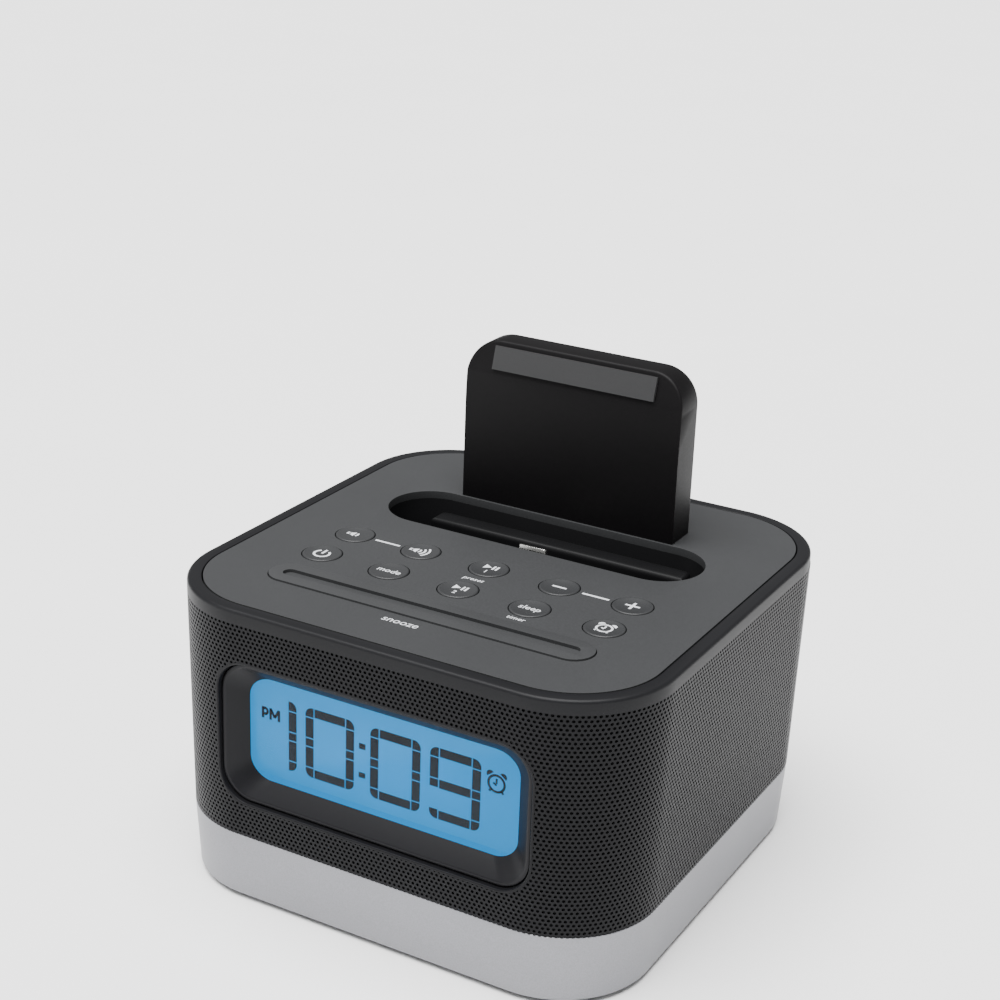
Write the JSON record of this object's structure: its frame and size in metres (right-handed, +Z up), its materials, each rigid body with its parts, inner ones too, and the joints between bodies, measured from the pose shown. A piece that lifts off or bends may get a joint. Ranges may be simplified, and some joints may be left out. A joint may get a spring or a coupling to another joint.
{
  "type": "clock radio",
  "caption": "Compact bedside clock radio with a lit display, perforated wrap-round grille, press buttons and snooze bar on top, and a charging dock with a rest for a phone.",
  "frame": {"origin": "centre of the footprint on the surface the feet stand on", "axes": "+X to the right as seen from the front, +Y to the back, +Z up"},
  "size_m": [0.11, 0.11, 0.106],
  "materials": {
    "soft_touch_grey": "soft-touch satin",
    "rim_grey": "fine satin",
    "grille_metal": "dark perforated sheet",
    "silver_satin": "satin silver paint",
    "black_plastic": "fine texture",
    "bezel_black": "satin black",
    "clear_window": "clear polished",
    "lcd_blue": "blue backlit panel",
    "white_diffuser": "translucent white",
    "circuit_green": "solder mask",
    "component_black": "moulded",
    "tinned_steel": "bright",
    "plated_steel": "nickel plated",
    "spring_brass": "bright",
    "paper_cone": "pressed paper",
    "ferrite": "ground ferrite",
    "rubber_black": "matt",
    "button_grey": "satin cap",
    "bar_grey": "satin bar"
  },
  "bodies": {
    "case": {"rubber_feet": "rubber_black", "base_band": "silver_satin", "bottom_cover": "black_plastic", "case_screws": "plated_steel", "backup_battery": "plated_steel", "battery_holder": "black_plastic", "battery_contacts": "spring_brass", "chassis": "black_plastic", "grille": "grille_metal", "rear_cover": "black_plastic", "top_rim": "rim_grey", "top_plate": "soft_touch_grey", "button_board": "circuit_green", "tact_switches": "component_black", "dock_cradle": "black_plastic", "phone_rest": "soft_touch_grey", "rest_pad": "rubber_black", "display_bezel": "bezel_black", "display_window": "clear_window", "lcd_panel": "lcd_blue", "backlight": "white_diffuser", "display_board": "circuit_green", "display_ribbon": "rubber_black", "main_board": "circuit_green", "main_chip": "component_black", "tuner_can": "tinned_steel", "capacitors": "component_black", "power_jack": "component_black", "audio_jack": "component_black", "usb_port": "plated_steel", "antenna_gland": "rubber_black", "slide_switch": "component_black", "left_speaker_frame": "tinned_steel", "left_speaker_cone": "paper_cone", "left_speaker_magnet": "ferrite", "right_speaker_frame": "tinned_steel", "right_speaker_cone": "paper_cone", "right_speaker_magnet": "ferrite"},
    "volume_down_button": {"volume_down_button": "button_grey"},
    "volume_up_button": {"volume_up_button": "button_grey"},
    "play_button": {"play_button": "button_grey"},
    "tune_down_button": {"tune_down_button": "button_grey"},
    "tune_up_button": {"tune_up_button": "button_grey"},
    "power_button": {"power_button": "button_grey"},
    "mode_button": {"mode_button": "button_grey"},
    "preset_button": {"preset_button": "button_grey"},
    "sleep_button": {"sleep_button": "button_grey"},
    "alarm_button": {"alarm_button": "button_grey"},
    "snooze_bar": {"snooze_bar": "bar_grey"},
    "connector": {"connector_boot": "black_plastic", "dock_connector": "plated_steel"},
    "battery_door": {"battery_door": "black_plastic"},
    "switch_knob": {"switch_knob": "black_plastic"}
  },
  "joints": [
    {"name": "volume_down_press", "type": "slide", "parent": "case", "child": "volume_down_button", "axis": [0, 0, -1], "range_m": [0, 0.0006], "stiffness_N_per_m": 200, "springref_m": -0.001},
    {"name": "volume_up_press", "type": "slide", "parent": "case", "child": "volume_up_button", "axis": [0, 0, -1], "range_m": [0, 0.0006], "stiffness_N_per_m": 200, "springref_m": -0.001},
    {"name": "play_press", "type": "slide", "parent": "case", "child": "play_button", "axis": [0, 0, -1], "range_m": [0, 0.0006], "stiffness_N_per_m": 200, "springref_m": -0.001},
    {"name": "tune_down_press", "type": "slide", "parent": "case", "child": "tune_down_button", "axis": [0, 0, -1], "range_m": [0, 0.0006], "stiffness_N_per_m": 200, "springref_m": -0.001},
    {"name": "tune_up_press", "type": "slide", "parent": "case", "child": "tune_up_button", "axis": [0, 0, -1], "range_m": [0, 0.0006], "stiffness_N_per_m": 200, "springref_m": -0.001},
    {"name": "power_press", "type": "slide", "parent": "case", "child": "power_button", "axis": [0, 0, -1], "range_m": [0, 0.0006], "stiffness_N_per_m": 200, "springref_m": -0.001},
    {"name": "mode_press", "type": "slide", "parent": "case", "child": "mode_button", "axis": [0, 0, -1], "range_m": [0, 0.0006], "stiffness_N_per_m": 200, "springref_m": -0.001},
    {"name": "preset_press", "type": "slide", "parent": "case", "child": "preset_button", "axis": [0, 0, -1], "range_m": [0, 0.0006], "stiffness_N_per_m": 200, "springref_m": -0.001},
    {"name": "sleep_press", "type": "slide", "parent": "case", "child": "sleep_button", "axis": [0, 0, -1], "range_m": [0, 0.0006], "stiffness_N_per_m": 200, "springref_m": -0.001},
    {"name": "alarm_press", "type": "slide", "parent": "case", "child": "alarm_button", "axis": [0, 0, -1], "range_m": [0, 0.0006], "stiffness_N_per_m": 200, "springref_m": -0.001},
    {"name": "snooze_bar_press", "type": "slide", "parent": "case", "child": "snooze_bar", "axis": [0, 0, -1], "range_m": [0, 0.0006], "stiffness_N_per_m": 200, "springref_m": -0.001},
    {"name": "connector_tilt", "type": "hinge", "parent": "case", "child": "connector", "pos_m": [0, 0.00866, 0.05666], "axis": [1, 0, 0], "range_deg": [-4, 4], "stiffness_Nm_per_rad": 0.02},
    {"name": "battery_door_hinge", "type": "hinge", "parent": "case", "child": "battery_door", "pos_m": [0, 0.0057, 0.0022], "axis": [1, 0, 0], "range_deg": [0, 90]},
    {"name": "switch_slide", "type": "slide", "parent": "case", "child": "switch_knob", "axis": [1, 0, 0], "range_m": [-0.002, 0.002]}
  ]
}
